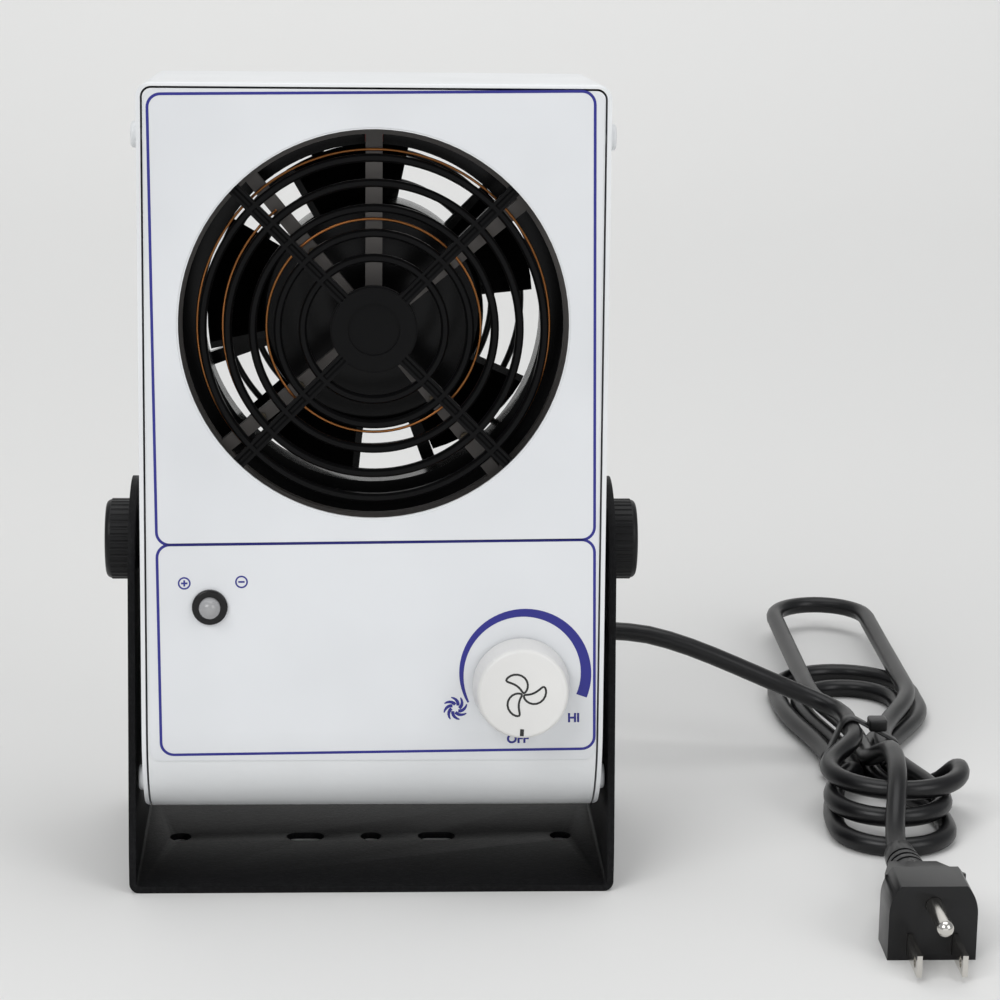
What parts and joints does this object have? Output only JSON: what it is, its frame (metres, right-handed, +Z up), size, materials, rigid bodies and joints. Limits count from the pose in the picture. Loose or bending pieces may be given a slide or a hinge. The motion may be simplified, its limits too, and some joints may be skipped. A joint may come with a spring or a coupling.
{
  "type": "ionizing blower",
  "caption": "Benchtop ionizing air blower: sheet-metal fan head with a round guarded outlet, speed knob and indicator, tilting in a U bracket, with a mains cord and plug.",
  "frame": {"origin": "middle of the bracket's bench holes, on the underside of its base", "axes": "+Z up from the bench, -Y out of the front grille, +X to the right as seen from the front"},
  "size_m": [0.2705, 0.3383, 0.2359],
  "materials": {
    "bracket_paint": "fine textured powder coat, half matt",
    "housing_paint": "smooth powder coat, half gloss",
    "label_film": "printed film, smooth",
    "guard_plastic": "moulded, fine grain",
    "duct_plastic": "moulded, smooth",
    "clamp_plastic": "moulded, fine ribs",
    "black_nylon": "moulded",
    "black_gloss": "moulded, smooth",
    "emitter_plastic": "moulded, matt grey",
    "copper_wire": "drawn copper wire",
    "brass": "turned",
    "needle_steel": "ground",
    "zinc_steel": "zinc plated",
    "guard_wire": "coated wire",
    "magnet": "bonded ferrite",
    "knob_plastic": "moulded, half gloss",
    "lens": "clear dome, unlit",
    "board_green": "solder mask",
    "lead_red": "insulated wire",
    "lead_green": "insulated wire",
    "block_cream": "moulded",
    "cord_black": "smooth, half gloss",
    "tie_black": "coated wire tie",
    "nickel": "nickel plated"
  },
  "bodies": {
    "bracket": {"bracket": "bracket_paint", "cord_lead": "cord_black", "cord_loops": "cord_black", "cord_bundle": "cord_black", "cord_tie": "tie_black", "plug_body": "cord_black", "plug_blades": "nickel", "plug_ground_pin": "nickel"},
    "impeller": {"impeller": "duct_plastic", "rotor_magnet": "magnet", "motor_shaft": "needle_steel"},
    "speed_knob": {"speed_knob": "knob_plastic", "knob_shaft": "zinc_steel"},
    "clamp_left": {"clamp_knob_left": "clamp_plastic", "clamp_stud_left": "zinc_steel"},
    "clamp_right": {"clamp_knob_right": "clamp_plastic", "clamp_stud_right": "zinc_steel"},
    "head": {"pivot_washers": "black_nylon", "rear_shell": "housing_paint", "front_cover": "housing_paint", "front_label": "label_film", "side_screws": "zinc_steel", "clip_nuts": "zinc_steel", "pivot_nuts": "zinc_steel", "finger_guard": "guard_plastic", "air_duct": "duct_plastic", "emitter_frame": "emitter_plastic", "emitter_wires": "copper_wire", "needle_sockets": "brass", "emitter_needles": "needle_steel", "fan_frame": "duct_plastic", "fan_screws": "zinc_steel", "fan_nuts": "zinc_steel", "rear_guard": "guard_wire", "motor_stator": "copper_wire", "motor_bearings": "needle_steel", "speed_control": "zinc_steel", "control_nut": "brass", "lamp_bezel": "black_gloss", "lamp_lens": "lens", "circuit_board": "board_green", "board_parts": "black_gloss", "board_posts": "brass", "board_screws": "zinc_steel", "high_voltage_unit": "black_gloss", "high_voltage_screws": "zinc_steel", "high_voltage_leads": "lead_red", "terminal_block": "block_cream", "mains_leads": "lead_green", "cord_gland": "black_nylon", "gland_nut": "black_nylon", "cord_start": "cord_black"}
  },
  "joints": [
    {"name": "tilt", "type": "hinge", "parent": "bracket", "child": "head", "pos_m": [0, 0, 0.0965], "axis": [1, 0, 0], "range_deg": [-25, 45]},
    {"name": "fan_spin", "type": "hinge", "parent": "head", "child": "impeller", "pos_m": [0, 0.00586, 0.16344], "axis": [0, 0.9962, -0.0872], "continuous": true},
    {"name": "speed_turn", "type": "hinge", "parent": "head", "child": "speed_knob", "pos_m": [0.0426, -0.04294, 0.06462], "axis": [0, 0.9962, -0.0872], "range_deg": [0, 300]},
    {"name": "clamp_turn_left", "type": "hinge", "parent": "head", "child": "clamp_left", "pos_m": [-0.071, 0, 0.0965], "axis": [-1, 0, 0], "range_deg": [0, 360]},
    {"name": "clamp_turn_right", "type": "hinge", "parent": "head", "child": "clamp_right", "pos_m": [0.071, 0, 0.0965], "axis": [1, 0, 0], "range_deg": [0, 360]}
  ]
}
